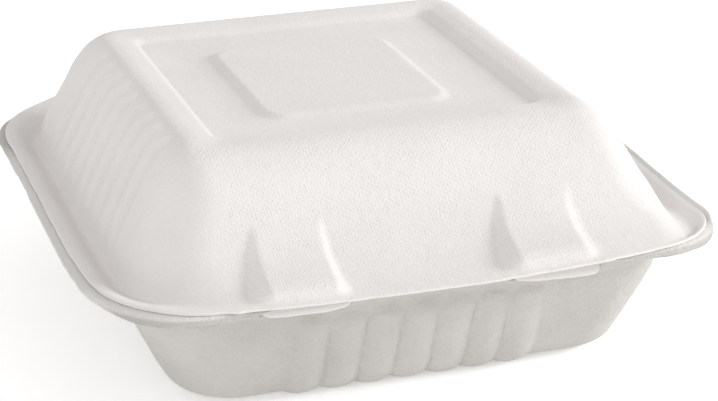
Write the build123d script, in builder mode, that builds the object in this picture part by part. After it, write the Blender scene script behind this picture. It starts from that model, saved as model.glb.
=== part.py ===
from build123d import *
import math
import os

# Square clamshell food container, pressed from sugarcane fibre pulp.
# A ribbed tray and a domed lid are joined along the back by a fold, and two
# tongues under the lid's front flange pass through slits in the tray's rim.
#
# Origin: centre of the flat underside.  +Z up, the tongue side faces -Y, the
# fold runs along X at the back.  Millimetres, lid shut.

# ---------------------------------------------------------------- dimensions
WALL = 1.0                 # thickness of the pressed pulp

# tray
FLOOR_X, FLOOR_Y = 69.5, 74.5        # half sizes where floor and wall would meet
FLOOR_CORNER = 20.0
FLOOR_FILLET = 14.0
CREASE_Z = 35.3                      # top of the tray's wall, where the rim flares
CREASE_X, CREASE_Y = 88.0, 89.5
CREASE_CORNER = 25.0
FLARE_X, FLARE_FRONT, FLARE_BACK = 97.4, 100.0, 98.0
FLARE_CORNER = 27.0
LIP_X, LIP_FRONT = 102.0, 104.6      # outer edge of the tray's rim
LIP_CORNER = 28.0
LIP_TOP = 46.8                       # height of the lip's top above the floor at y = 0
RIM_TILT = 1.5                       # the rims drop towards the latched front, degrees
RIM_GAP = 0.3                        # between the tray's lip and the lid's flange

# lid
CROWN_Z = 82.4
CROWN_HALF = 68.7                    # half size where crown and wall would meet
CROWN_CORNER = 17.0
CROWN_FILLET = 16.0
WALL_RUN = 0.535                     # outward run of the lid's wall per mm of drop
LOW_Z = 40.0                         # construction level below the lid's flange
LOW_CORNER = 27.0
RIM_X, RIM_FRONT = 98.6, 106.6       # outer edge of the lid's flange
RIM_CORNER = 36.0
PANEL_HALF, PANEL_Z = 53.0, 79.5     # sunk square panel in the crown
PLATEAU_X0, PLATEAU_X1 = -32.5, 30.0 # raised field inside the panel
PLATEAU_Y0, PLATEAU_Y1 = -39.5, 34.0
PLATEAU_RISE = 1.2

# front bosses on the lid, tongues and slits
BOSS_X = 39.5
BOSS_HALF_TOP, BOSS_HALF_FOOT = 10.4, 12.6
BOSS_TOP_Z, BOSS_FOOT_Y = 61.5, -99.6
TONGUE_X = (-37.3, 43.0)             # centres of the two tongues
TONGUE_HALF = 14.3
TONGUE_Y = -93.6                     # middle of the tongue's thickness
TONGUE_TIP_Z = 36.9
SLIT_HALF_Y = 1.5
SLIT_MARGIN = 1.2

# corrugations
PAD_COUNT, PAD_PITCH, PAD_WIDTH = 7, 11.7, 9.9       # tray's front wall
PAD_RISE = 0.8
RIB_PITCH, RIB_WIDTH, RIB_RISE = 11.0, 7.4, 0.8      # lid's side and back walls
SIDE_RIB_FIRST, SIDE_RIB_COUNT = -41.5, 8            # y of the first raised rib
BACK_RIB_COUNT = 8

# fold at the back
FOLD_Y = 103.0
FOLD_HALF_X = 74.0
FOLD_CLEAR = 0.2                     # the rims stop this far short of the fold line

tilt = math.radians(RIM_TILT)
slope = math.tan(tilt)
wall_angle = math.atan2(1.0, WALL_RUN)               # lid wall above horizontal
LID_OFFSET = WALL / math.sin(wall_angle)             # horizontal wall thickness
FLANGE_BOTTOM = LIP_TOP + RIM_GAP
FLANGE_TOP = FLANGE_BOTTOM + WALL
FOLD_Z = LIP_TOP + RIM_GAP / 2 + slope * FOLD_Y
EDGE_Y = FOLD_Y - FOLD_CLEAR


def tilted(z):
    """Plane through (0, 0, z), dropping towards the front by the rims' tilt."""
    return Plane(origin=(0, 0, z), x_dir=(1, 0, 0),
                 z_dir=(0, -math.sin(tilt), math.cos(tilt)))


def spread(front, back):
    """Centre and full length along Y of an outline with a front and a back half."""
    return (back - front) / 2, front + back


def lid_half(z):
    return CROWN_HALF + (CROWN_Z - z) * WALL_RUN


# ---------------------------------------------------------------- tray
tray_slope_x = (CREASE_X - FLOOR_X) / CREASE_Z
tray_slope_y = (CREASE_Y - FLOOR_Y) / CREASE_Z
off_x = WALL * math.hypot(1, tray_slope_x)
off_y = WALL * math.hypot(1, tray_slope_y)
lip_c, lip_l = spread(LIP_FRONT, EDGE_Y)
flare_c, flare_l = spread(FLARE_FRONT, FLARE_BACK)

with BuildPart() as tray_outer:
    with BuildSketch(Plane.XY):
        RectangleRounded(2 * FLOOR_X, 2 * FLOOR_Y, FLOOR_CORNER)
    with BuildSketch(Plane.XY.offset(CREASE_Z)):
        RectangleRounded(2 * CREASE_X, 2 * CREASE_Y, CREASE_CORNER)
    loft()
    fillet(tray_outer.edges().group_by(Axis.Z)[0], FLOOR_FILLET)

with BuildPart() as tray_inner:
    with BuildSketch(Plane.XY.offset(WALL)):
        RectangleRounded(2 * (FLOOR_X + WALL * tray_slope_x - off_x),
                         2 * (FLOOR_Y + WALL * tray_slope_y - off_y), FLOOR_CORNER - WALL)
    with BuildSketch(Plane.XY.offset(CREASE_Z + WALL)):
        RectangleRounded(2 * (CREASE_X + WALL * tray_slope_x - off_x),
                         2 * (CREASE_Y + WALL * tray_slope_y - off_y), CREASE_CORNER - WALL)
    loft()
    fillet(tray_inner.edges().group_by(Axis.Z)[0], FLOOR_FILLET - WALL)

with BuildPart() as flare_outer:
    with BuildSketch(Plane.XY.offset(CREASE_Z)):
        RectangleRounded(2 * CREASE_X, 2 * CREASE_Y, CREASE_CORNER)
    with BuildSketch(tilted(LIP_TOP - WALL)):
        with Locations((0, flare_c)):
            RectangleRounded(2 * FLARE_X, flare_l, FLARE_CORNER)
    loft()

with BuildPart() as flare_inner:
    with BuildSketch(Plane.XY.offset(CREASE_Z + WALL)):
        RectangleRounded(2 * (CREASE_X + WALL * tray_slope_x - off_x),
                         2 * (CREASE_Y + WALL * tray_slope_y - off_y), CREASE_CORNER - WALL)
    with BuildSketch(tilted(LIP_TOP)):
        with Locations((0, flare_c)):
            RectangleRounded(2 * (FLARE_X - 0.4), flare_l - 0.8, FLARE_CORNER - 0.4)
    loft()
    # on through the lip, so that the mouth is open
    with BuildSketch(tilted(LIP_TOP)):
        with Locations((0, flare_c)):
            RectangleRounded(2 * (FLARE_X - 0.4), flare_l - 0.8, FLARE_CORNER - 0.4)
    extrude(amount=3)

with BuildPart() as base_tray:
    add(tray_outer.part)
    add(flare_outer.part)
    # flat lip round the top of the flare
    with BuildSketch(tilted(LIP_TOP - WALL)):
        with Locations((0, lip_c)):
            RectangleRounded(2 * LIP_X, lip_l, LIP_CORNER)
    extrude(amount=WALL)
    # raised pads along the front wall, following its lean and running round
    # its foot
    lean = math.atan2(CREASE_Y - FLOOR_Y, CREASE_Z)
    front_plane = Plane(origin=(0, -(FLOOR_Y + 10 * tray_slope_y), 10), x_dir=(1, 0, 0),
                        z_dir=(0, -math.cos(lean), -math.sin(lean)))
    with BuildSketch(front_plane):
        for i in range(PAD_COUNT):
            with Locations(((i - (PAD_COUNT - 1) / 2) * PAD_PITCH, 9.6)):
                RectangleRounded(PAD_WIDTH, 28.0, 3.0)
    extrude(amount=PAD_RISE)
    add(tray_inner.part, mode=Mode.SUBTRACT)
    add(flare_inner.part, mode=Mode.SUBTRACT)
    # the pads are hollow behind
    with BuildSketch(front_plane.offset(-WALL)):
        for i in range(PAD_COUNT):
            with Locations(((i - (PAD_COUNT - 1) / 2) * PAD_PITCH, 9.6)):
                RectangleRounded(PAD_WIDTH - 2.2, 25.8, 2.2)
    extrude(amount=PAD_RISE, mode=Mode.SUBTRACT)
    # slits for the tongues
    with BuildSketch(Plane.XY.offset(30)):
        for x in TONGUE_X:
            with Locations((x, TONGUE_Y)):
                RectangleRounded(2 * (TONGUE_HALF + SLIT_MARGIN), 2 * SLIT_HALF_Y, 0.9)
    extrude(amount=20, mode=Mode.SUBTRACT)
base_tray.part.label = "base_tray"

# ---------------------------------------------------------------- lid
rim_c, rim_l = spread(RIM_FRONT, EDGE_Y)

with BuildPart() as dome_outer:
    with BuildSketch(Plane.XY.offset(LOW_Z)):
        RectangleRounded(2 * lid_half(LOW_Z), 2 * lid_half(LOW_Z), LOW_CORNER)
    with BuildSketch(Plane.XY.offset(CROWN_Z)):
        RectangleRounded(2 * CROWN_HALF, 2 * CROWN_HALF, CROWN_CORNER)
    loft()
    fillet(dome_outer.edges().group_by(Axis.Z)[-1], CROWN_FILLET)

with BuildPart() as dome_inner:
    inner_low = lid_half(LOW_Z) - LID_OFFSET
    inner_top = lid_half(CROWN_Z - WALL) - LID_OFFSET
    with BuildSketch(Plane.XY.offset(LOW_Z)):
        RectangleRounded(2 * inner_low, 2 * inner_low, LOW_CORNER - WALL)
    with BuildSketch(Plane.XY.offset(CROWN_Z - WALL)):
        RectangleRounded(2 * inner_top, 2 * inner_top, CROWN_CORNER - WALL)
    loft()
    fillet(dome_inner.edges().group_by(Axis.Z)[-1], CROWN_FILLET - WALL)
    # underside of the sunk panel, and of the raised field in it
    with BuildSketch(Plane.XY.offset(PANEL_Z - WALL)):
        RectangleRounded(2 * (PANEL_HALF + WALL), 2 * (PANEL_HALF + WALL), 5.0)
    extrude(amount=10, mode=Mode.SUBTRACT)
    with BuildSketch(Plane.XY.offset(PANEL_Z - WALL - 1)):
        with Locations(((PLATEAU_X0 + PLATEAU_X1) / 2, (PLATEAU_Y0 + PLATEAU_Y1) / 2)):
            RectangleRounded(PLATEAU_X1 - PLATEAU_X0 - 2, PLATEAU_Y1 - PLATEAU_Y0 - 2, 7.0)
    extrude(amount=1 + PLATEAU_RISE)

with BuildPart() as lid:
    add(dome_outer.part)
    # sunk panel with its raised field
    with BuildSketch(Plane.XY.offset(PANEL_Z)):
        RectangleRounded(2 * PANEL_HALF, 2 * PANEL_HALF, 4.0)
        with Locations(((PLATEAU_X0 + PLATEAU_X1) / 2, (PLATEAU_Y0 + PLATEAU_Y1) / 2)):
            RectangleRounded(PLATEAU_X1 - PLATEAU_X0, PLATEAU_Y1 - PLATEAU_Y0, 8.0,
                             mode=Mode.SUBTRACT)
    extrude(amount=10, mode=Mode.SUBTRACT)
    with BuildSketch(Plane.XY.offset(PANEL_Z + PLATEAU_RISE)):
        RectangleRounded(2 * PANEL_HALF, 2 * PANEL_HALF, 4.0)
    extrude(amount=10, mode=Mode.SUBTRACT)
    # everything below the flange goes
    split(bisect_by=tilted(FLANGE_BOTTOM), keep=Keep.TOP)
    # flange
    with BuildSketch(tilted(FLANGE_BOTTOM)):
        with Locations((0, rim_c)):
            RectangleRounded(2 * RIM_X, rim_l, RIM_CORNER)
    extrude(amount=WALL)
    # front bosses: ramps that leave the wall and stand out most at the flange
    boss_top_y = -lid_half(BOSS_TOP_Z)
    for s in (-1, 1):
        with BuildSketch(tilted(FLANGE_BOTTOM)):
            with Locations((s * BOSS_X, (BOSS_FOOT_Y - 88) / 2)):
                Rectangle(2 * BOSS_HALF_FOOT, -BOSS_FOOT_Y - 88)
        with BuildSketch(Plane.XY.offset(BOSS_TOP_Z)):
            with Locations((s * BOSS_X, boss_top_y + 2.0)):
                Rectangle(2 * BOSS_HALF_TOP, 4.0)
        loft()
    # ribs on the two side walls and the back wall
    RIB_LENGTH, RIB_MID = 26.0, 14.6
    lid_lean = math.pi / 2 - wall_angle
    sides = []
    for s in (-1, 1):
        sides.append((Plane(origin=(s * lid_half(50), 0, 50), x_dir=(0, s, 0),
                            z_dir=(s * math.cos(lid_lean), 0, math.sin(lid_lean))),
                      [s * (SIDE_RIB_FIRST + i * RIB_PITCH) for i in range(SIDE_RIB_COUNT)]))
    sides.append((Plane(origin=(0, lid_half(50), 50), x_dir=(-1, 0, 0),
                        z_dir=(0, math.cos(lid_lean), math.sin(lid_lean))),
                  [(i - (BACK_RIB_COUNT - 1) / 2) * RIB_PITCH for i in range(BACK_RIB_COUNT)]))
    for plane, places in sides:
        with BuildSketch(plane):
            for p in places:
                with Locations((p, RIB_MID)):
                    RectangleRounded(RIB_WIDTH, RIB_LENGTH, 3.0)
        extrude(amount=RIB_RISE)
    # hollow inside
    add(dome_inner.part, mode=Mode.SUBTRACT)
    for plane, places in sides:
        with BuildSketch(plane.offset(-WALL)):
            for p in places:
                with Locations((p, RIB_MID)):
                    RectangleRounded(RIB_WIDTH - 2.2, RIB_LENGTH - 2.2, 2.2)
        extrude(amount=RIB_RISE, mode=Mode.SUBTRACT)
    for s in (-1, 1):
        with BuildSketch(tilted(FLANGE_BOTTOM - 0.01)):
            with Locations((s * BOSS_X, (BOSS_FOOT_Y + 1.2 - 86) / 2)):
                Rectangle(2 * (BOSS_HALF_FOOT - WALL), -BOSS_FOOT_Y - 1.2 - 86)
        with BuildSketch(Plane.XY.offset(BOSS_TOP_Z - 3.0)):
            with Locations((s * BOSS_X, -lid_half(BOSS_TOP_Z - 3.0) + 3.2)):
                Rectangle(2 * (BOSS_HALF_TOP - WALL), 4.0)
        loft(mode=Mode.SUBTRACT)
    # tongues
    for x in TONGUE_X:
        with BuildSketch(Plane(origin=(x, TONGUE_Y + WALL / 2, 0), x_dir=(1, 0, 0),
                               z_dir=(0, -1, 0))):
            with BuildLine():
                Polyline((-TONGUE_HALF, FLANGE_BOTTOM + 0.5 + slope * TONGUE_Y),
                         (-TONGUE_HALF, TONGUE_TIP_Z + 2.4),
                         (-TONGUE_HALF + 4.0, TONGUE_TIP_Z + 0.4),
                         (-2.0, TONGUE_TIP_Z),
                         (TONGUE_HALF - 5.0, TONGUE_TIP_Z + 0.3),
                         (TONGUE_HALF, TONGUE_TIP_Z + 2.0),
                         (TONGUE_HALF, FLANGE_BOTTOM + 0.5 + slope * TONGUE_Y), close=True)
            make_face()
        extrude(amount=WALL)
lid.part.label = "lid"

# ---------------------------------------------------------------- fold
# The thinned web that bends when the lid opens: a tight turn round the fold
# line between the two rims' back edges.
r_in = RIM_GAP / 2
with BuildPart() as hinge_web:
    with BuildSketch(Plane(origin=(-FOLD_HALF_X, 0, 0), x_dir=(0, 1, 0), z_dir=(1, 0, 0))):
        with BuildLine():
            Line((EDGE_Y, FOLD_Z - r_in), (FOLD_Y, FOLD_Z - r_in))
            ThreePointArc((FOLD_Y, FOLD_Z - r_in), (FOLD_Y + r_in, FOLD_Z),
                          (FOLD_Y, FOLD_Z + r_in))
            Line((FOLD_Y, FOLD_Z + r_in), (EDGE_Y, FOLD_Z + r_in))
            Line((EDGE_Y, FOLD_Z + r_in), (EDGE_Y, FOLD_Z + r_in + WALL))
            Line((EDGE_Y, FOLD_Z + r_in + WALL), (FOLD_Y, FOLD_Z + r_in + WALL))
            ThreePointArc((FOLD_Y, FOLD_Z + r_in + WALL), (FOLD_Y + r_in + WALL, FOLD_Z),
                          (FOLD_Y, FOLD_Z - r_in - WALL))
            Line((FOLD_Y, FOLD_Z - r_in - WALL), (EDGE_Y, FOLD_Z - r_in - WALL))
            Line((EDGE_Y, FOLD_Z - r_in - WALL), (EDGE_Y, FOLD_Z - r_in))
        make_face()
    extrude(amount=2 * FOLD_HALF_X)
hinge_web.part.label = "hinge_web"

os.makedirs("parts", exist_ok=True)
export_step(base_tray.part, "parts/base_tray.step")
export_step(lid.part, "parts/lid.step")
export_step(hinge_web.part, "parts/hinge_web.step")
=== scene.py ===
import math

import bpy
import numpy as np
from mathutils import Matrix


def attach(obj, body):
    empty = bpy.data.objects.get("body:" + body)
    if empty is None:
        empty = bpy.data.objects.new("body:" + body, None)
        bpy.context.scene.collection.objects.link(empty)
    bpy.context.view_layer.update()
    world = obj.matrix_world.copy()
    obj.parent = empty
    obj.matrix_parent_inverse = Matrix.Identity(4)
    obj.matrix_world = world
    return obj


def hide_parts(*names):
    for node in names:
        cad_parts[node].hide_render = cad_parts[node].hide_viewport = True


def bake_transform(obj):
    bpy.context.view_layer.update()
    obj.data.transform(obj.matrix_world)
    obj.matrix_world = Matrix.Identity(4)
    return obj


# Looks of a square moulded-pulp clamshell: a ribbed tray and a domed lid,
# folded from one sheet along the back.  All shapes are worked in millimetres
# and turned into metres when a mesh is made.

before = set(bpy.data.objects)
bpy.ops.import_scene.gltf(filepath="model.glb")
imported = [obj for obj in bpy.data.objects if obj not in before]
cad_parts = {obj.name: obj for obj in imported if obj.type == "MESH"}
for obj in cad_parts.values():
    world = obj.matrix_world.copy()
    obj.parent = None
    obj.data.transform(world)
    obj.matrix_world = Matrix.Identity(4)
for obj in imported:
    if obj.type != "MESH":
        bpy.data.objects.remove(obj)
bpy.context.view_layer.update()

MM = 0.001
SLOPE = math.tan(math.radians(1.5))      # the rims drop towards the front
THICK = 1.0

# ---------------------------------------------------------------- camera
YAW, PITCH, ROLL = math.radians(-18.25), math.radians(21.17), math.radians(-0.47)
CAMERA_AT = (-0.2147, -0.6823, 0.3109)
LENS = 113.15

back = np.array([math.sin(YAW) * math.cos(PITCH), -math.cos(YAW) * math.cos(PITCH), math.sin(PITCH)])
right = np.cross(-back, [0.0, 0.0, 1.0])
right /= np.linalg.norm(right)
up = np.cross(back, right)
right, up = (math.cos(ROLL) * right + math.sin(ROLL) * up,
             -math.sin(ROLL) * right + math.cos(ROLL) * up)
cam_data = bpy.data.cameras.new("photo_view")
cam_data.sensor_fit = "HORIZONTAL"
cam_data.sensor_width = 36.0
cam_data.lens = LENS
cam_data.clip_start, cam_data.clip_end = 0.01, 100.0
cam = bpy.data.objects.new("photo_view", cam_data)
bpy.context.scene.collection.objects.link(cam)
m = Matrix.Identity(4)
for row in range(3):
    m[row][0], m[row][1], m[row][2], m[row][3] = right[row], up[row], back[row], CAMERA_AT[row]
cam.matrix_world = m
bpy.context.scene.camera = cam


# ---------------------------------------------------------------- helpers
def smooth(a, b, x):
    t = np.clip((np.asarray(x, float) - a) / (b - a), 0.0, 1.0)
    return t * t * (3 - 2 * t)


def noise(p, size, seed):
    """Smooth value noise in -1..1, with features about size millimetres wide."""
    table = np.random.RandomState(seed).uniform(-1, 1, (64, 64, 64))
    q = np.asarray(p, float) / size + 500.0
    i = np.floor(q).astype(int)
    f = q - i
    f = f * f * (3 - 2 * f)
    out = 0.0
    for dx in (0, 1):
        for dy in (0, 1):
            for dz in (0, 1):
                w = (np.where(dx, f[..., 0], 1 - f[..., 0]) * np.where(dy, f[..., 1], 1 - f[..., 1])
                     * np.where(dz, f[..., 2], 1 - f[..., 2]))
                out = out + w * table[(i[..., 0] + dx) & 63, (i[..., 1] + dy) & 63, (i[..., 2] + dz) & 63]
    return out


# One side of a ring: half a corner, a short run, the ribbed stretch, a short
# run, half a corner.
ARC, RUN, CORE = 12, 14, 108
SIDE = 2 * ARC + 2 * RUN + CORE
N = 4 * SIDE
CORE_HALF = 50.0
DIRS = [((1, 0), (0, -1)), ((0, 1), (1, 0)), ((-1, 0), (0, 1)), ((0, -1), (-1, 0))]


def ring(x0, x1, y0, y1, radii):
    """Rounded rectangle: points, outward plan normals, and lengths along each side."""
    fl, fr, br, bl = radii
    centre = [(x0 + fl, y0 + fl), (x1 - fr, y0 + fr), (x1 - br, y1 - br), (x0 + bl, y1 - bl)]
    rad = [fl, fr, br, bl]
    pts, nrm, lengths = [], [], []
    for s in range(4):
        d, n = np.array(DIRS[s][0], float), np.array(DIRS[s][1], float)
        c0, r0 = np.array(centre[s]), rad[s]
        c1, r1 = np.array(centre[(s + 1) % 4]), rad[(s + 1) % 4]
        th0 = np.linspace(math.pi / 4, 0, ARC, endpoint=False)
        t0, t1 = c0 @ d, c1 @ d
        k0, k1 = max(-CORE_HALF, t0 * 0.86), min(CORE_HALF, t1 * 0.86)
        t = np.concatenate([np.linspace(t0, k0, RUN, endpoint=False),
                            np.linspace(k0, k1, CORE, endpoint=False),
                            np.linspace(k1, t1, RUN, endpoint=False)])
        th1 = np.linspace(0, math.pi / 4, ARC + 1)
        a = c0 + r0 * (np.cos(th0)[:, None] * n - np.sin(th0)[:, None] * d)
        b = np.outer(t, d) + (c0 @ n + r0) * n
        e = c1 + r1 * (np.cos(th1)[:, None] * n + np.sin(th1)[:, None] * d)
        na = np.cos(th0)[:, None] * n - np.sin(th0)[:, None] * d
        nb = np.repeat(n[None], len(t), 0)
        ne = np.cos(th1)[:, None] * n + np.sin(th1)[:, None] * d
        pts.append(np.concatenate([a, b, e])[:SIDE])
        nrm.append(np.concatenate([na, nb, ne])[:SIDE])
        lengths.append(np.concatenate([t0 - r0 * th0, t, t1 + r1 * th1]))
    return np.concatenate(pts), np.concatenate(nrm), np.array(lengths)


def run(keys, steps):
    """Smooth curve through rows of numbers; columns 0 and 8 set the pace."""
    k = np.array(keys, float)
    d = np.hypot(np.diff(k[:, 1]), np.diff(k[:, 8])) + 0.15
    s = np.concatenate([[0], np.cumsum(d)])
    m = np.zeros_like(k)
    for i in range(len(k)):
        if i == 0:
            m[i] = (k[1] - k[0]) / (s[1] - s[0])
        elif i == len(k) - 1:
            m[i] = (k[-1] - k[-2]) / (s[-1] - s[-2])
        else:
            a, b = (k[i] - k[i - 1]) / (s[i] - s[i - 1]), (k[i + 1] - k[i]) / (s[i + 1] - s[i])
            h0, h1 = s[i] - s[i - 1], s[i + 1] - s[i]
            m[i] = (a * h1 + b * h0) / (h0 + h1)
            m[i] = np.where(a * b <= 0, 0.35 * m[i], m[i])
    out = []
    for i in range(len(k) - 1):
        h = s[i + 1] - s[i]
        for t in np.linspace(0, 1, steps[i], endpoint=False):
            out.append((2 * t**3 - 3 * t**2 + 1) * k[i] + (t**3 - 2 * t**2 + t) * h * m[i]
                       + (-2 * t**3 + 3 * t**2) * k[i + 1] + (t**3 - t**2) * h * m[i + 1])
    out.append(k[-1])
    return np.array(out)


def rings_from(rows):
    """Stations to a stack of rings.  Row: x0 x1 y0 y1, four radii, side z,
    front z, weight of the rims' slope."""
    P, NR, U = [], [], []
    for r in rows:
        p, n, u = ring(r[0], r[1], r[2], r[3], r[4:8])
        ang = np.arctan2(np.abs(n[:, 0]), -n[:, 1])
        front = 1 - smooth(0.0, math.pi / 2, ang)
        z = (r[8] + r[10] * SLOPE * p[:, 1]) * (1 - front) + r[9] * front
        P.append(np.column_stack([p, z]))
        NR.append(np.column_stack([n, front]))
        U.append(u)
    return np.array(P), np.array(NR), np.array(U)


def normals(P):
    """Outward normals of a stack of rings running from the middle outwards."""
    du = np.roll(P, -1, axis=1) - np.roll(P, 1, axis=1)
    dk = np.gradient(P, axis=0)
    n = np.cross(dk, du)
    return n / np.linalg.norm(n, axis=2, keepdims=True)


def cap(edge, bend=0.0):
    """Fills a ring of N points: two thinning strips and a square grid.
    Returns extra points and faces; indices below N are the ring's own."""
    n1, n2 = N // 2, N // 4
    c = edge.mean(0)
    a = c + (edge[::2] - c) * 0.955
    b = c + (edge[::4] - c) * 0.895
    a[:, 2] = edge[::2, 2]
    b[:, 2] = edge[::4, 2]
    g = n2 // 4
    u = np.linspace(0, 1, g + 1)
    low, rgt = b[0:g + 1], b[g:2 * g + 1]
    top = b[2 * g:3 * g + 1][::-1]
    lft = np.concatenate([b[3 * g:], b[:1]])[::-1]
    grid = np.zeros((g + 1, g + 1, 3))
    for i in range(g + 1):
        for j in range(g + 1):
            s, t = u[i], u[j]
            grid[i, j] = ((1 - t) * low[i] + t * top[i] + (1 - s) * lft[j] + s * rgt[j]
                          - ((1 - s) * (1 - t) * low[0] + s * (1 - t) * low[g]
                             + (1 - s) * t * top[0] + s * t * top[g]))
    ia, ib = N, N + n1
    ig = ib + n2
    index = np.zeros((g + 1, g + 1), int)
    inner = []
    for i in range(g + 1):
        for j in range(g + 1):
            if j == 0:
                index[i, j] = ib + i
            elif i == g:
                index[i, j] = ib + g + j
            elif j == g:
                index[i, j] = ib + 2 * g + (g - i)
            elif i == 0:
                index[i, j] = ib + (3 * g + (g - j)) % n2
            else:
                index[i, j] = ig + len(inner)
                inner.append(grid[i, j])
    faces = []
    for j in range(n1):
        p, q = ia + j, ia + (j + 1) % n1
        o0, o1, o2 = 2 * j, 2 * j + 1, (2 * j + 2) % N
        faces += [(p, o0, o1), (p, o1, q), (q, o1, o2)]
    for j in range(n2):
        p, q = ib + j, ib + (j + 1) % n2
        o0, o1, o2 = ia + 2 * j, ia + 2 * j + 1, ia + (2 * j + 2) % n1
        faces += [(p, o0, o1), (p, o1, q), (q, o1, o2)]
    for i in range(g):
        for j in range(g):
            faces.append((index[i, j], index[i + 1, j], index[i + 1, j + 1], index[i, j + 1]))
    return np.concatenate([a, b, np.array(inner)]), faces


def shell(name, outer, U, V, pick, weave, flip, holes=()):
    """Closed thin shell.  outer: stack of rings from the middle to the rim on
    the seen side; the other side is the same surface moved by the thickness,
    using the picked rings.  holes: (ring, first, last) quads left open, with
    their walls closed between the two sides."""
    nr = normals(outer) * (THICK if flip else -THICK)
    inner = outer[pick] + nr[pick]
    # rolled rim between the two sides
    top, low = outer[-1], outer[-1] + nr[-1]
    out = top - outer[-2]
    out[:, 2] = 0
    out /= np.linalg.norm(out, axis=1, keepdims=True)
    mid = (top + low) / 2
    half = (top - low) / 2
    roll = [mid + half * math.cos(a) + out * 0.42 * math.sin(a) for a in
            (math.radians(40), math.radians(90), math.radians(140))]
    stack = np.concatenate([outer, np.array(roll), inner[::-1]])
    K = len(stack)
    cap_a, faces_a = cap(stack[0])
    cap_b, faces_b = cap(stack[-1])
    verts = np.concatenate([stack.reshape(-1, 3), cap_a, cap_b])
    uu = np.concatenate([U, np.repeat(U[-1:], 3, 0), U[pick][::-1]])
    vv = np.concatenate([V, V[-1] + np.array([0.4, 0.8, 1.2]), (V[-1] + 1.6 + (V[-1] - V[pick]))[::-1]])
    faces, lay = [], []
    closed = {}
    for k, i0, i1 in holes:
        for i in range(i0, i1):
            closed[(k, i)] = True
    inner_of = {p: K - 1 - j for j, p in enumerate(pick)}
    skip = set(closed)
    for (k, i) in closed:
        skip.add((inner_of[k + 1], i))
    for k in range(K - 1):
        for i in range(N):
            if (k, i) in skip:
                continue
            j = (i + 1) % N
            s, c = i // SIDE, i % SIDE
            f = [k * N + i, (k + 1) * N + i, (k + 1) * N + j, k * N + j]
            w = [(uu[k, s, c], vv[k]), (uu[k + 1, s, c], vv[k + 1]),
                 (uu[k + 1, s, c + 1], vv[k + 1]), (uu[k, s, c + 1], vv[k])]
            faces.append(f)
            lay += w if not flip else w[::-1]
    for k, i0, i1 in holes:
        ka, kb = inner_of[k], inner_of[k + 1]
        for i in range(i0, i1):
            faces.append([k * N + i + 1, k * N + i, ka * N + i, ka * N + i + 1])
            faces.append([(k + 1) * N + i, (k + 1) * N + i + 1, kb * N + i + 1, kb * N + i])
            lay += [(0, 0)] * 8
        faces.append([k * N + i0, (k + 1) * N + i0, kb * N + i0, ka * N + i0])
        faces.append([(k + 1) * N + i1, k * N + i1, ka * N + i1, kb * N + i1])
        lay += [(0, 0)] * 8
    base_a, base_b = K * N, K * N + len(cap_a)
    for f in faces_a:
        g = [v if v < N else base_a + v - N for v in f]
        faces.append(g)
        w = [(verts[v][0], verts[v][1]) for v in g]
        lay += w if not flip else w[::-1]
    for f in faces_b:
        g = [(K - 1) * N + v if v < N else base_b + v - N for v in f][::-1]
        faces.append(g)
        w = [(verts[v][0], verts[v][1]) for v in g]
        lay += w if not flip else w[::-1]
    if flip:
        faces = [f[::-1] for f in faces]
    wv = np.concatenate([weave, weave[-1:].repeat(3, 0), weave[pick][::-1] * 0.6]).reshape(-1)
    wv = np.concatenate([wv, np.full(len(cap_a), weave[0].mean()), np.full(len(cap_b), 0.4)])
    return make(name, verts, faces, np.array(lay), wv)


def make(name, verts, faces, lay, weave):
    mesh = bpy.data.meshes.new(name)
    mesh.from_pydata((np.asarray(verts) * MM).tolist(), [], [list(map(int, f)) for f in faces])
    mesh.polygons.foreach_set("use_smooth", [True] * len(mesh.polygons))
    a = mesh.attributes.new("lay", "FLOAT_VECTOR", "CORNER")
    flat = np.zeros((len(mesh.loops), 3), np.float32)
    flat[:, :2] = lay
    a.data.foreach_set("vector", flat.reshape(-1))
    b = mesh.attributes.new("weave", "FLOAT", "POINT")
    b.data.foreach_set("value", np.asarray(weave, np.float32))
    mesh.update()
    obj = bpy.data.objects.new(name, mesh)
    bpy.context.scene.collection.objects.link(obj)
    return obj


def square(s, r, z, zf=None):
    tight = r * (1 - 0.36 * float(smooth(60, 76, s)))     # the front right corner is crisper
    wide = 0.9 * float(smooth(70, 81, s))                 # and the right wall a little fuller
    return [-s, s + wide, -s, s, r, tight, r, r, z, z if zf is None else zf, 0.0]


def dip(x, y):
    """The rims aren't quite flat: the front edge bows down in its middle and
    up at the corners, and the two back corners droop beside the fold."""
    ax = np.abs(x)
    front_bow = smooth(-55, -96, y) * (-0.2 + 0.7 * np.minimum(ax / 78.0, 1.1) ** 2)
    droop = -3.2 * smooth(62, 80, ax) * smooth(25, 80, y) * (1 - 0.5 * smooth(82, 98, ax))
    return front_bow + droop


def scallops(u, v, grooves, v0, v1, soft, width):
    """A row of shallow rounded ribs parted by soft grooves: depth below the level wall."""
    g = np.asarray(grooves, float)
    half = width / 2
    d = np.abs(u[..., None] - g).min(-1)
    cut = (0.5 + 0.5 * np.cos(np.pi * np.clip(d / half, 0, 1))) ** soft
    span = smooth(v0, v0 + 6.5, v) * (1 - smooth(v1 - 9.0, v1, v))
    return cut * span


def bumps(u, v, centres, half_w, v0, v1, corner):
    """Convex raised strips with round ends: 0 outside, 1 along their crests."""
    out = np.zeros_like(u)
    vm, vh = (v0 + v1) / 2, (v1 - v0) / 2
    for c in centres:
        qx = np.abs(u - c) - (half_w - corner)
        qy = np.abs(v - vm) - (vh - corner)
        sd = np.hypot(np.maximum(qx, 0), np.maximum(qy, 0)) + np.minimum(np.maximum(qx, qy), 0) - corner
        d = np.clip(-sd / half_w, 0, 1)
        out = np.maximum(out, np.sqrt(1 - (1 - d) ** 2))
    return out


# ---------------------------------------------------------------- lid
def plateau(i, r, z):
    return [-32.7 + i, 29.0 - i, -40.0 + i, 33.0 - i, r, r, r, r, z, z, 0.0]


keys, steps = [], []


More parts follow.
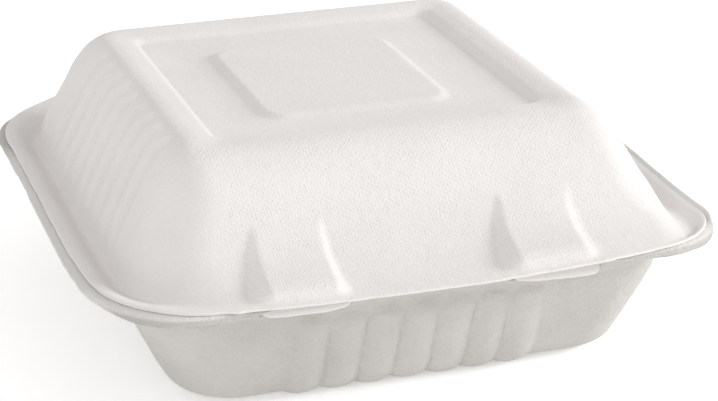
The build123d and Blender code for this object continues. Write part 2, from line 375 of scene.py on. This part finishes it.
def key(row, n):
    keys.append(row)
    steps.append(n)


key(plateau(6.0, 4.0, 80.93), 2)
key(plateau(2.4, 5.6, 80.93), 2)
key(plateau(1.5, 6.4, 80.84), 2)
key(plateau(0.6, 7.3, 80.5), 2)
key(plateau(-0.4, 8.2, 79.98), 2)
key(plateau(-1.3, 9.0, 79.62), 2)
key(plateau(-2.4, 10.0, 79.48), 5)
key(square(51.7, 3.6, 79.45), 2)
key(square(52.4, 3.8, 79.55, 79.52), 2)
key(square(53.1, 4.0, 80.0, 79.78), 2)
key(square(53.8, 4.3, 80.65, 80.15), 2)
key(square(54.5, 4.6, 81.15, 80.48), 2)
key(square(55.6, 5.0, 81.5, 80.76), 2)
key(square(58.0, 5.8, 81.95, 81.0), 2)
key(square(60.2, 6.7, 82.3, 81.2), 2)
key(square(62.3, 7.6, 82.3, 81.1), 2)
key(square(64.2, 8.4, 81.92, 80.7), 2)
key(square(66.0, 9.2, 81.02, 80.0), 2)
key(square(67.8, 10.2, 79.7, 78.9), 2)
key(square(69.6, 11.3, 78.05, 77.5), 2)
key(square(71.4, 12.6, 75.9, 75.65), 4)
key(square(74.2, 15.2, 72.0), 5)
key(square(77.3, 18.0, 66.0), 5)
key(square(80.4, 20.0, 60.0), 4)
foot_side = [(82.5, 56.0), (84.6, 51.9), (86.7, 47.8), (88.0, 45.4), (88.9, 44.2), (89.9, 43.8),
             (91.1, 44.2), (92.8, 45.7), (95.2, 47.3), (98.4, 47.88)]
foot_front = [(82.3, 56.0), (84.5, 53.2), (87.3, 50.8), (90.8, 48.8), (94.6, 47.3), (98.0, 46.3),
              (99.9, 45.9), (102.0, 45.56), (103.8, 45.32), (105.6, 45.11)]
foot_back = [82.5, 84.4, 86.2, 87.7, 89.4, 91.6, 94.0, 97.0, 99.8, 102.3]
rim_radii = (38.0, 31.0, 44.0, 44.0)
for j in range(10):
    f = j / 9
    radii = [20.6 + (q - 20.6) * f ** 0.9 for q in rim_radii]
    radii[1] = 13.0 + (rim_radii[1] - 13.0) * f ** 3.0
    s, zs = foot_side[j]
    yf, zf = foot_front[j]
    wide = (1.3, 1.8, 2.3, 2.6, 2.8, 2.8, 2.7, 2.3, 1.8, 1.3)[j]
    key([-s - 0.2 * f ** 3, s + wide, -yf, foot_back[j]] + radii + [zs, zf, min(1.0, max(0.0, (56 - zs) / 8.0))],
        [3, 3, 3, 3, 3, 3, 3, 3, 3, 1][j])
rows = run(keys, steps)
P, NR, U = rings_from(rows)
front = NR[..., 2]
dz, dyf = np.diff(rows[:, 9]), np.diff(rows[:, 2])
V = np.concatenate([[0], np.cumsum(np.hypot(dz, dyf))])
Vs = np.concatenate([[0], np.cumsum(np.hypot(np.diff(rows[:, 8]), np.diff(rows[:, 1])))])
R = len(rows)
first_wall = int(np.argmin(np.abs(rows[:, 1] - 62.3) + (np.arange(R) < 20) * 100))


def v_at(z, rows, V, col, after):
    k = after + int(np.argmin(np.abs(rows[after:, col] - z)))
    return V[k]


seat = 46.7 + SLOPE * P[..., 1]
shallow = smooth(-38, -76, P[..., 1]) * smooth(70, 82, P[..., 0]) * (rows[:, 8] < 50)[:, None]
P[..., 2] += 0.75 * shallow * np.maximum(seat - P[..., 2], 0.0)
uf = np.concatenate([U[:, s, :SIDE] for s in range(4)], axis=1)      # along-side length at each point
side = np.repeat(np.arange(4), SIDE)[None].repeat(R, 0)
vf = V[:, None].repeat(N, 1)
vs = Vs[:, None].repeat(N, 1)

# arcs and grooves of the two side walls and the back wall
v_top, v_foot = v_at(81.4, rows, Vs, 8, first_wall), v_at(47.0, rows, Vs, 8, first_wall)
groove_y = [41.1 - 11.04 * i for i in range(9)]
groove_x = [(i - 4) * 11.04 for i in range(9)]
# lengths along the right side run with +y, along the left side with -y
cut_right = scallops(uf, vs, groove_y, v_top, v_foot, 2.4, 11.04)
cut_left = scallops(-uf, vs, groove_y, v_top, v_foot, 2.4, 11.04)
cut_back = scallops(uf, vs, groove_x, v_top - 1.5, v_foot, 2.4, 11.04)
cut = np.where(side == 1, cut_right, np.where(side == 3, cut_left, np.where(side == 2, cut_back, 0)))
lean = np.zeros_like(P)
lean[..., 0], lean[..., 1], lean[..., 2] = NR[..., 0] * 0.88, NR[..., 1] * 0.88, 0.47
P = P - lean * (cut * 2.7)[..., None]

# front bosses
v0, v1 = v_at(62.3, rows, V, 9, first_wall), v_at(45.95, rows, V, 9, first_wall)
t = np.clip((vf - v0) / (v1 - v0), 0, 1)
x = P[..., 0]
boss = np.zeros((R, N))
for a0, a1, b0, b1 in ((-49.2, -50.0, -28.9, -30.0), (29.6, 28.4, 51.4, 50.2)):
    lo_in, hi_in = a0 + (a1 - a0) * t, b0 + (b1 - b0) * t
    lo_out, hi_out = lo_in - (1.0 + 5.6 * t), hi_in + (0.8 + 4.0 * t)
    up_side = np.clip((x - lo_out) / (lo_in - lo_out), 0, 1)
    down_side = np.clip((hi_out - x) / (hi_out - hi_in), 0, 1)
    trap = np.minimum(up_side, down_side)
    boss = np.maximum(boss, trap + 0.25 * (smooth(0, 1, trap) - trap))
boss = boss * (front > 0.98)
grow = t ** 0.9 * smooth(0, 0.1, t)
v_rim = V[-1]
past = np.clip((vf - v1) / (v_rim - v1), 0, 1)
P[..., 1] -= boss * grow * 3.3 * (1 - past) ** 1.5
P[..., 2] += boss * grow * 3.3 * (1 - smooth(v1 - 3.5, v_rim - 0.8, vf))

# rim: bow of the front edge, dip, ragged outline
foot = np.clip((np.arange(R) - (R - 26)) / 25.0, 0, 1)[:, None]
bow = np.where(P[..., 0] > 0, 0.00084 * np.minimum(P[..., 0], 75.0) ** 2,
               0.00052 * np.minimum(-P[..., 0], 68.0) ** 2)
P[..., 1] += bow * front * foot
P[..., 0] += 1.5 * smooth(-40, -78, P[..., 1]) * smooth(0.3, 0.8, -NR[..., 0]) * foot
P[..., 2] += dip(P[..., 0], P[..., 1]) * smooth(54, 47.5, P[..., 2])
edge = smooth(0.75, 1.0, foot)
rag = (0.16 * noise(P, 5.0, 3) + 0.22 * noise(P, 14.0, 4) + 0.35 * noise(P, 40.0, 5)
       + 0.07 * noise(P, 1.8, 12))
keep = 1 - 0.8 * (NR[..., 1] > 0.5)
P[..., 0] += NR[..., 0] * rag * edge * keep
P[..., 1] += NR[..., 1] * rag * edge * keep
# small nick and nib on the front edge
nick = np.exp(-((P[..., 0] + 64.5) / 1.6) ** 2) * 0.8 - np.exp(-((P[..., 0] + 60.4) / 1.2) ** 2) * 0.35
P[..., 1] += nick * front * smooth(0.92, 1.0, foot)

# gentle unevenness of the pressed walls
calm = 1 - smooth(0.2, 0.7, foot)
uneven = (0.20 * noise(P, 38.0, 7) + 0.06 * noise(P, 15.0, 8) + 0.02 * noise(P, 5.0, 9))
P = P + lean * (uneven * (0.25 + 0.75 * smooth(58, 66, rows[:, 1]))[:, None] * calm)[..., None]
P[..., 2] = np.minimum(P[..., 2], 82.36)
lim = lambda a, lo, hi: np.clip(a, lo, hi)
P[..., 0] = lim(P[..., 0], -99.4, 100.6)
P[..., 1] = lim(P[..., 1], -106.15, 102.35)

weave = np.full((R, N), 0.3)
wall_front = front * smooth(57, 64, rows[:, 1])[:, None]
weave += 0.75 * smooth(0.25, 0.9, wall_front)
weave += 0.25 * (smooth(53.5, 56, rows[:, 1]) * (1 - smooth(64, 70, rows[:, 1])))[:, None]
weave *= 1 - 0.75 * (smooth(-52, -66, P[..., 0]) * smooth(-60, -75, P[..., 1]))
weave *= 1 - 0.75 * (smooth(58, 70, P[..., 0]) * smooth(-60, -75, P[..., 1]))
weave = np.clip(weave, 0, 1)

pick = list(range(0, 14, 2))
pick += list(range(14, R - 1, 2))
pick = sorted(set([0] + [q for q in pick if q not in (R - 1,)] + [R - 1]))
lid = shell("lid_shell", P, U, V, pick, weave, False)


# ---------------------------------------------------------------- tongues
# the lid's surface over the tongues' line, where they are rooted
root_z = np.array([np.interp(93.6, -P[first_wall:, c, 1], P[first_wall:, c, 2]) for c in range(ARC, SIDE - ARC)])
root_x = np.array([np.interp(93.6, -P[first_wall:, c, 1], P[first_wall:, c, 0]) for c in range(ARC, SIDE - ARC)])


def tongue(name, xc, half, lower, lean_out, seed):
    """A tab pressed out of the lid's flange, its tip slightly uneven."""
    nx, nz = 60, 16
    xs = np.linspace(-half, half, nx)
    tip = np.interp(xs / half, [q[0] for q in lower], [q[1] for q in lower])
    tip = tip + 0.12 * noise(np.column_stack([xs + xc, xs * 0, xs * 0]), 2.2, seed)
    top = np.interp(xs + xc, root_x, root_z) - 0.5
    verts = []
    for sgn in (-1, 1):
        for j in range(nz):
            f = (j / (nz - 1)) ** 0.75
            for i in range(nx):
                z = top[i] + (tip[i] - top[i]) * f
                round_end = 1 - 0.55 * max(0.0, (f - 0.86) / 0.14) ** 2
                round_side = 1 - 0.55 * max(0.0, (abs(xs[i]) / half - 0.96) / 0.04) ** 2
                y = -93.6 - lean_out * smooth(41.5, 37.5, z) + sgn * 0.5 * min(round_end, round_side)
                verts.append((xc + xs[i], y, z))
    verts = np.array(verts)
    faces = []
    a = nx * nz
    for j in range(nz - 1):
        for i in range(nx - 1):
            p = j * nx + i
            faces.append([p, p + nx, p + nx + 1, p + 1])
            faces.append([a + p, a + p + 1, a + p + nx + 1, a + p + nx])
    for i in range(nx - 1):
        p, q = i, (nz - 1) * nx + i
        faces.append([p, p + 1, a + p + 1, a + p])
        faces.append([q + 1, q, a + q, a + q + 1])
    for j in range(nz - 1):
        p, q = j * nx, j * nx + nx - 1
        faces.append([p + nx, p, a + p, a + p + nx])
        faces.append([q, q + nx, a + q + nx, a + q])
    lay = [(verts[v][0], verts[v][2]) for f in faces for v in f]
    return make(name, verts, faces, np.array(lay), np.full(len(verts), 0.3))


tab_left = tongue("tongue_left", -37.3, 14.3,
                  [(-1, 38.9), (-0.93, 38.3), (-0.8, 37.5), (-0.4, 37.15), (0.0, 36.95), (0.45, 37.0),
                   (0.8, 37.6), (0.93, 38.3), (1, 39.4)], 0.75, 21)
tab_right = tongue("tongue_right", 43.0, 14.4,
                   [(-1, 39.2), (-0.9, 38.2), (-0.6, 37.5), (-0.1, 36.95), (0.5, 36.6), (0.88, 36.75),
                    (0.97, 37.4), (1, 38.4)], 0.75, 22)

# ---------------------------------------------------------------- tray
keys, steps = [], []


def base_row(x, yf, yb, r, z, zf=None, tw=0.0):
    """The pressing is not quite even: its right wall is steeper than its left."""
    r = list(r) if isinstance(r, (list, tuple)) else [r, r - 5.0 * (1 - float(smooth(30, 36, z))), r, r]
    add = 3.6 - 3.6 * float(smooth(4, 38, z))
    cut = 1.2 * float(smooth(8, 30, z)) * (1 - float(smooth(38, 44, z)))
    return [-x + cut, x + add, -yf, yb] + r + [z, z if zf is None else zf, tw]


key(base_row(48.0, 52.0, 52.0, 8.0, 0.0), 2)
key(base_row(56.0, 60.0, 60.0, 10.0, 0.0), 2)
key(base_row(61.0, 65.2, 65.2, 12.5, 0.02), 2)
ax, ay = math.atan2(35.3, 18.5), math.atan2(35.3, 15.0)
for f in (0.2, 0.4, 0.6, 0.8, 1.0):
    x = 61.0 + 14 * math.sin(f * ax)
    yv = 65.2 + 14 * math.sin(f * ay)
    zx = 14 * (1 - math.cos(f * ax))
    zy = 14 * (1 - math.cos(f * ay))
    key(base_row(x, yv, yv, 12.5 + 9.0 * f, zx, zy), 2)
for z, n in ((12.5, 5), (20.0, 5), (27.0, 4), (32.0, 2), (34.4, 2)):
    x = 69.5 + z * 18.5 / 35.3
    yv = 74.5 + z * 15.0 / 35.3
    key(base_row(x, yv, yv, 21.5 + 3.0 * (z - 7.5) / 28, z), n)
# crease, flare, lip
key(base_row(88.15, 89.65, 89.4, 25.0, 35.45), 2)
key(base_row(89.4, 91.0, 90.6, 25.4, 36.6, 36.5, 0.1), 1)
key(base_row(90.2, 92.15, 91.4, 25.8, 37.55, 37.5, 0.2), 1)
key(base_row(92.8, 95.1, 94.0, (29.0, 23.0, 31.0, 31.0), 40.3, 39.9, 0.45), 3)
key(base_row(96.4, 98.6, 97.2, (32.0, 24.0, 38.0, 38.0), 44.6, 42.3, 0.9), 2)
key(base_row(97.4, 99.7, 98.4, (35.0, 26.0, 42.0, 42.0), 45.65, 43.1, 1.0), 2)
key(base_row(99.2, 101.2, 100.2, (34.0, 25.0, 43.0, 43.0), 45.8, 43.15, 1.0), 3)
key(base_row(101.6, 102.9, 102.3, (33.0, 25.0, 45.0, 45.0), 45.8, 43.1, 1.0), 1)
rows = run(keys, steps)
B, NR, U = rings_from(rows)
R = len(rows)
front = NR[..., 2]
V = np.concatenate([[0], np.cumsum(np.hypot(np.diff(rows[:, 9]), np.diff(rows[:, 2])))])
uf = np.concatenate([U[:, s, :SIDE] for s in range(4)], axis=1)
side = np.repeat(np.arange(4), SIDE)[None].repeat(R, 0)
vf = V[:, None].repeat(N, 1)
start = int(np.argmin(np.abs(rows[:, 9] - 2.0) + (np.arange(R) < 6) * 100))
va = V[start] - 6.0
vb = v_at(33.4, rows, V, 9, start)
grooves = [-39.0, -27.3, -15.7, -3.9, 7.9, 19.6, 31.2, 42.2]
pads = [(grooves[i] + grooves[i + 1]) / 2 for i in range(7)]
pad = np.where(side == 0, bumps(uf, vf, pads, 5.75, va, vb, 5.0), 0)
lean = np.zeros_like(B)
lean[..., 1], lean[..., 2] = -0.9, -0.42
B = B + lean * (pad ** 1.5 * 1.85)[..., None]
B[..., 2] = np.maximum(B[..., 2], 0.0)

rise = smooth(36.0, 43.0, B[..., 2])
B[..., 1] += (0.00062 * np.minimum(np.abs(B[..., 0]), 76.0) ** 2) * front * rise * smooth(-40, 60, B[..., 0])
B[..., 0] += 1.3 * smooth(-40, -78, B[..., 1]) * smooth(0.3, 0.8, -NR[..., 0]) * rise
B[..., 2] += dip(B[..., 0], B[..., 1]) * rise
B[..., 2] += 1.9 * smooth(98.9, 101.9, B[..., 0]) * smooth(-97, -80, B[..., 1]) * (1 - smooth(40, 70, B[..., 1]))
# at the two front corners the edge of the lip turns down in a short skirt
corner = np.where(B[..., 0] > 0, smooth(50, 82, B[..., 0]), smooth(42, 78, -B[..., 0]))
corner = corner * smooth(0.3, 0.85, -NR[..., 1])
edge = [101.2, 101.77, 102.33, 102.9]
B[..., :2] += NR[..., :2] * (np.interp(-rows[:, 2], edge, [0, 0.55, 0.45, 0.0])[:, None] * corner)[..., None]
B[..., 2] -= np.interp(-rows[:, 2], edge, [0, 0.1, 0.9, 2.0])[:, None] * corner
foot = np.clip((np.arange(R) - (R - 8)) / 7.0, 0, 1)[:, None]
rag = 0.18 * noise(B, 5.0, 13) + 0.4 * noise(B, 16.0, 14) + 0.5 * noise(B, 45.0, 15) + 0.07 * noise(B, 1.8, 16)
keep = 1 - 0.8 * (NR[..., 1] > 0.5)
B[..., 0] += NR[..., 0] * rag * smooth(0.3, 1, foot) * keep
B[..., 1] += NR[..., 1] * rag * smooth(0.3, 1, foot) * keep
calm = smooth(2.0, 8.0, B[..., 2]) * (1 - smooth(36.0, 42.0, B[..., 2]))
out3 = np.concatenate([NR[..., :2], np.zeros((R, N, 1))], axis=2)
uneven = 0.3 * noise(B, 34.0, 17) + 0.16 * noise(B, 12.0, 18) + 0.06 * noise(B, 4.0, 19)
B = B + out3 * (uneven * calm)[..., None]
B[..., 0] = lim(B[..., 0], -101.5, 101.9)
B[..., 1] = lim(B[..., 1], -104.15, 102.35)

# the slits lie between the two rings that pass their edges
ks = int(np.argmin(np.abs(rows[:, 2] + 92.15)))
weave = np.full((R, N), 0.25)
holes = []
for xc, half in ((-37.3, 14.3), (43.0, 14.4)):
    xs = B[ks, :SIDE, 0]
    i0, i1 = [int(np.argmin(np.abs(xs - e))) for e in (xc - half, xc + half)]
    for i, e in ((i0, xc - half - 0.12), (i1, xc + half + 0.12)):
        B[ks - 2:ks, i, 0] += 0.5 * (e - B[ks, i, 0])
        B[ks:ks + 2, i, 0] = e
    holes.append((ks, i0, i1))
pick = sorted(set(list(range(0, R, 2)) + [ks, ks + 1] + list(range(R - 4, R))))
tray = shell("tray_shell", B, U, V, pick, weave, True, holes)

# ---------------------------------------------------------------- fold
# The thinned web at the back: a tight turn between the two rims.
FOLD_Y, GAP = 103.0, 0.3
FOLD_Z = 46.95 + SLOPE * FOLD_Y
nx, na = 150, 15
half_x = 60.0
section = []
for r in (GAP / 2 + 0.92, GAP / 2 + 0.02):
    line = [(FOLD_Y - 0.62, -r), (FOLD_Y - 0.3, -r)]
    line += [(FOLD_Y + r * math.sin(a), -r * math.cos(a)) for a in np.linspace(0, math.pi, na)]
    line += [(FOLD_Y - 0.3, r), (FOLD_Y - 0.62, r)]
    section.append(line)
loop = section[0] + section[1][::-1]
verts = []
xs = np.linspace(-half_x, half_x, nx)
for i, xx in enumerate(xs):
    for q, (yy, zz) in enumerate(loop):
        w = 0.06 * noise(np.array([[xx, q * 3.0, 0.0]]), 2.5, 31)[0] + 0.05 * math.sin(xx * 4.1)
        k = 1.0 if q < len(section[0]) else 0.0
        r = math.hypot(yy - FOLD_Y, zz) or 1.0
        squeeze = 1 - 0.5 * max(0.0, (abs(xx) - half_x + 1.2) / 1.2) ** 2
        verts.append((xx, FOLD_Y + (yy - FOLD_Y) * (1 + k * (w - 0.05) * (yy > FOLD_Y)),
                      FOLD_Z + zz * (squeeze if k else 1.0)))
L = len(loop)
faces, lay = [], []
for i in range(nx - 1):
    for q in range(L):
        a, b = i * L + q, i * L + (q + 1) % L
        faces.append([a, a + L, b + L, b])
        lay += [(xs[i], q), (xs[i + 1], q), (xs[i + 1], q + 1), (xs[i], q + 1)]
h = len(section[0])
for e, rev in ((0, False), (nx - 1, True)):
    for q in range(h - 1):
        f = [e * L + q, e * L + q + 1, e * L + (L - 2 - q), e * L + (L - 1 - q)]
        faces.append(f[::-1] if rev else f)
        lay += [(0, 0)] * 4
web = make("fold_web", verts, faces, np.array(lay), np.full(len(verts), 0.2))


# ---------------------------------------------------------------- materials
def pulp(name, light, dark, weave_depth, fibre_depth, grain_depth, rough, lit_lip_colour=None):
    """Pressed fibre pulp: a faint mottle, long pale fibres, the imprint of the forming mesh,
    and a felt-like grain; if given, a paler colour on the rim's lip as painted light."""
    mat = bpy.data.materials.new(name)
    mat.use_nodes = True
    nt = mat.node_tree
    nt.nodes.clear()
    new, link = nt.nodes.new, nt.links.new
    out = new("ShaderNodeOutputMaterial")
    bsdf = new("ShaderNodeBsdfPrincipled")
    bsdf.inputs["Specular IOR Level"].default_value = 0.22
    bsdf.inputs["Sheen Weight"].default_value = 0.12
    bsdf.inputs["Sheen Roughness"].default_value = 0.6
    link(bsdf.outputs[0], out.inputs[0])
    coord = new("ShaderNodeTexCoord")
    scale = new("ShaderNodeVectorMath")
    scale.operation = "SCALE"
    scale.inputs["Scale"].default_value = 1000.0
    link(coord.outputs["Object"], scale.inputs[0])
    mm = scale.outputs[0]

    def tex(size, detail, rough_v, distortion=0.0, stretch=None, turn=None):
        n = new("ShaderNodeTexNoise")
        n.inputs["Scale"].default_value = 1.0 / size
        n.inputs["Detail"].default_value = detail
        n.inputs["Roughness"].default_value = rough_v
        n.inputs["Distortion"].default_value = distortion
        src = mm
        if stretch:
            mp = new("ShaderNodeMapping")
            mp.inputs["Rotation"].default_value = turn
            mp.inputs["Scale"].default_value = stretch
            link(src, mp.inputs[0])
            src = mp.outputs[0]
        link(src, n.inputs["Vector"])
        return n.outputs[0]

    def math_node(op, a, b=None, c=None, clamp=False):
        n = new("ShaderNodeMath")
        n.operation = op
        n.use_clamp = clamp
        for i, v in enumerate((a, b, c)):
            if v is None:
                continue
            if isinstance(v, (int, float)):
                n.inputs[i].default_value = v
            else:
                link(v, n.inputs[i])
        return n.outputs[0]

    # imprint of the mesh: two crossed rows of ridges, broken up by noise
    lay = new("ShaderNodeAttribute")
    lay.attribute_name = "lay"
    warp = new("ShaderNodeTexNoise")
    warp.inputs["Scale"].default_value = 1 / 4.0
    warp.inputs["Detail"].default_value = 2.0
    link(mm, warp.inputs["Vector"])
    shift = new("ShaderNodeVectorMath")
    shift.operation = "SCALE"
    shift.inputs["Scale"].default_value = 2.2
    link(warp.outputs["Color"], shift.inputs[0])
    sway = new("ShaderNodeVectorMath")
    sway.operation = "ADD"
    link(lay.outputs["Vector"], sway.inputs[0])
    link(shift.outputs[0], sway.inputs[1])
    sep = new("ShaderNodeSeparateXYZ")
    link(sway.outputs[0], sep.inputs[0])
    rows_a = math_node("SINE", math_node("ADD", math_node("MULTIPLY", sep.outputs[0], 2.9),
                                         math_node("MULTIPLY", sep.outputs[1], -4.0)))
    rows_b = math_node("SINE", math_node("ADD", math_node("MULTIPLY", sep.outputs[0], 3.5),
                                         math_node("MULTIPLY", sep.outputs[1], 3.2)))
    cross = math_node("ADD", math_node("MULTIPLY", rows_a, 0.34), math_node("MULTIPLY", rows_b, 0.22))
    cross = math_node("ADD", cross, math_node("MULTIPLY", math_node("MULTIPLY", rows_a, rows_b), 0.62))
    amount = new("ShaderNodeAttribute")
    amount.attribute_name = "weave"
    patch = math_node("MULTIPLY_ADD", tex(3.2, 3, 0.6), 2.2, -0.42, clamp=True)
    woven = math_node("MULTIPLY", math_node("MULTIPLY", cross, amount.outputs["Fac"]), patch)

    # fibres: streaks of noise drawn out in three directions
    f1 = tex(1.0, 2, 0.5, 0.6, (0.16, 1.5, 1.5), (0.3, 0.2, 0.5))
    f2 = tex(1.0, 2, 0.5, 0.6, (1.5, 0.16, 1.5), (0.9, 0.4, -0.6))
    f3 = tex(1.0, 2, 0.5, 0.6, (1.5, 1.5, 0.16), (0.5, -0.7, 0.2))
    fibres = math_node("MAXIMUM", math_node("MAXIMUM", f1, f2), f3)
    grain = tex(0.8, 3, 0.65)
    felt = tex(2.6, 3, 0.55)

    height = math_node("ADD", math_node("MULTIPLY", woven, weave_depth),
                       math_node("MULTIPLY", fibres, fibre_depth))
    height = math_node("ADD", height, math_node("MULTIPLY", grain, grain_depth))
    height = math_node("ADD", height, math_node("MULTIPLY", felt, grain_depth * 1.3))
    bump = new("ShaderNodeBump")
    bump.inputs["Strength"].default_value = 1.0
    bump.inputs["Distance"].default_value = 0.001
    link(height, bump.inputs["Height"])
    link(bump.outputs[0], bsdf.inputs["Normal"])

    # colour: slow mottle, fine speckle, pale fibres
    mottle = tex(22.0, 3, 0.5)
    speck = tex(0.9, 3, 0.7)
    tone = math_node("ADD", math_node("MULTIPLY", mottle, 0.55), math_node("MULTIPLY", speck, 0.3))
    tone = math_node("ADD", tone, math_node("MULTIPLY", fibres, 0.15))
    ramp = new("ShaderNodeValToRGB")
    ramp.color_ramp.elements[0].position = 0.36
    ramp.color_ramp.elements[0].color = (*dark, 1)
    ramp.color_ramp.elements[1].position = 0.62
    ramp.color_ramp.elements[1].color = (*light, 1)
    link(tone, ramp.inputs[0])
    # a few darker shreds of bagasse
    shred = math_node("GREATER_THAN", tex(1.3, 1, 0.5, 0.4, (0.35, 1.3, 1.3), (0.2, 0.5, 1.1)), 0.77)
    mixc = new("ShaderNodeMix")
    mixc.data_type = "RGBA"
    link(math_node("MULTIPLY", shred, 0.18), mixc.inputs["Factor"])
    link(ramp.outputs[0], mixc.inputs["A"])
    mixc.inputs["B"].default_value = (dark[0] * 0.86, dark[1] * 0.82, dark[2] * 0.75, 1)
    colour = mixc.outputs["Result"]
    if lit_lip_colour:
        # painted light: the rim's flat, upward-facing lip is painted paler than the walls below it
        place = new("ShaderNodeSeparateXYZ")
        link(mm, place.inputs[0])
        lit_lip_mask = new("ShaderNodeMapRange")
        lit_lip_mask.inputs["From Min"].default_value = 45.9
        lit_lip_mask.inputs["From Max"].default_value = 46.6
        link(math_node("MULTIPLY_ADD", place.outputs[1], -SLOPE, place.outputs[2]), lit_lip_mask.inputs["Value"])
        mixl = new("ShaderNodeMix")
        mixl.data_type = "RGBA"
        link(lit_lip_mask.outputs[0], mixl.inputs["Factor"])
        link(colour, mixl.inputs["A"])
        mixl.inputs["B"].default_value = (*lit_lip_colour, 1)
        colour = mixl.outputs["Result"]
    link(colour, bsdf.inputs["Base Color"])
    link(math_node("MULTIPLY_ADD", felt, 0.12, rough), bsdf.inputs["Roughness"])
    return mat


lid_mat = pulp("pulp_lid", (0.750, 0.722, 0.704), (0.714, 0.685, 0.667), 0.085, 0.06, 0.13, 0.80)
# painted shade: the tray is the same pulp as the lid, painted darker for the shade on its down-facing walls; its
# lip colour is painted light
tray_mat_painted_shade = pulp("pulp_tray", (0.540, 0.520, 0.493), (0.474, 0.457, 0.431), 0.03, 0.14, 0.36, 0.84,
                lit_lip_colour=(0.690, 0.668, 0.645))
fold_mat = pulp("pulp_fold", (0.665, 0.642, 0.616), (0.615, 0.592, 0.566), 0.01, 0.12, 0.14, 0.84)
for obj, mat in ((lid, lid_mat), (tab_left, lid_mat), (tab_right, lid_mat), (tray, tray_mat_painted_shade), (web, fold_mat)):
    obj.data.materials.clear()
    obj.data.materials.append(mat)

# ---------------------------------------------------------------- frame
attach(lid, "lid")
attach(tab_left, "lid")
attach(tab_right, "lid")
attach(tray, "tray")
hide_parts("lid")
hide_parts("base_tray")
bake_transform(web)
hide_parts("hinge_web")

# ---------------------------------------------------------------- floor and light
floor_mesh = bpy.data.meshes.new("floor")
s = 12.0
floor_mesh.from_pydata([(-s, -s, 0), (s, -s, 0), (s, s, 0), (-s, s, 0)], [], [(0, 1, 2, 3)])
floor = bpy.data.objects.new("floor", floor_mesh)
bpy.context.scene.collection.objects.link(floor)
floor_mat = bpy.data.materials.new("floor")
floor_mat.use_nodes = True
b = floor_mat.node_tree.nodes["Principled BSDF"]
b.inputs["Base Color"].default_value = (0.95, 0.95, 0.95, 1)
b.inputs["Roughness"].default_value = 0.9
b.inputs["Specular IOR Level"].default_value = 0.1
b.inputs["Emission Color"].default_value = (1.0, 1.0, 1.0, 1)
b.inputs["Emission Strength"].default_value = 0.30
floor_mesh.materials.append(floor_mat)

world = bpy.data.worlds.new("studio")
bpy.context.scene.world = world
world.use_nodes = True
world.node_tree.nodes["Background"].inputs[0].default_value = (1.0, 1.0, 1.0, 1)
world.node_tree.nodes["Background"].inputs[1].default_value = 0.765


def softbox(name, at, size, power, aim=(0, 0, 0.04)):
    data = bpy.data.lights.new(name, "AREA")
    data.shape = "RECTANGLE"
    data.size, data.size_y = size
    data.energy = power
    o = bpy.data.objects.new(name, data)
    bpy.context.scene.collection.objects.link(o)
    d = np.array(aim, float) - np.array(at, float)
    z = -d / np.linalg.norm(d)
    xa = np.cross([0, 0, 1.0], z)
    xa /= np.linalg.norm(xa)
    ya = np.cross(z, xa)
    mw = Matrix.Identity(4)
    for r in range(3):
        mw[r][0], mw[r][1], mw[r][2], mw[r][3] = xa[r], ya[r], z[r], at[r]
    o.matrix_world = mw
    return o


softbox("key", (1.82, -0.47, 0.68), (0.7, 0.5), 26.0)
softbox("fill", (-1.15, -1.25, 0.75), (0.5, 0.4), 4.3)

view = bpy.context.scene.view_settings
view.view_transform = "Standard"
view.look = "None"
view.exposure = 0.0
